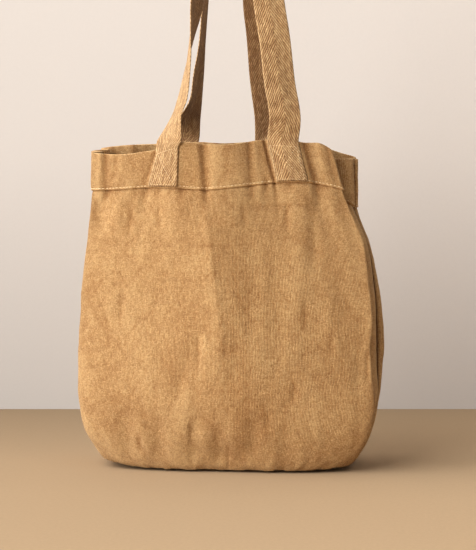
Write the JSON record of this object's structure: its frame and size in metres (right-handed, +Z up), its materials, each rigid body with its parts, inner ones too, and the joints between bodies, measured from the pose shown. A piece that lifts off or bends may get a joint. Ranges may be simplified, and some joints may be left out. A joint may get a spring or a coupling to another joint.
{
  "type": "linen tote bag",
  "caption": "Slouchy linen tote bag with a deep stitched hem, boxed base, drawn-in side seams and a pair of long flat webbing handles that twist as they rise.",
  "frame": {"origin": "on the surface under the bag, at the middle of its outline seen from above", "axes": "+Z up, +X to the right seen from the front, +Y from the front panel to the back panel"},
  "size_m": [0.3903, 0.1462, 0.693],
  "materials": {
    "linen": "matte washed plain weave",
    "webbing": "matte twill weave"
  },
  "bodies": {
    "root": {"front_panel": "linen", "back_panel": "linen", "front_handle": "webbing", "back_handle": "webbing"}
  },
  "joints": []
}
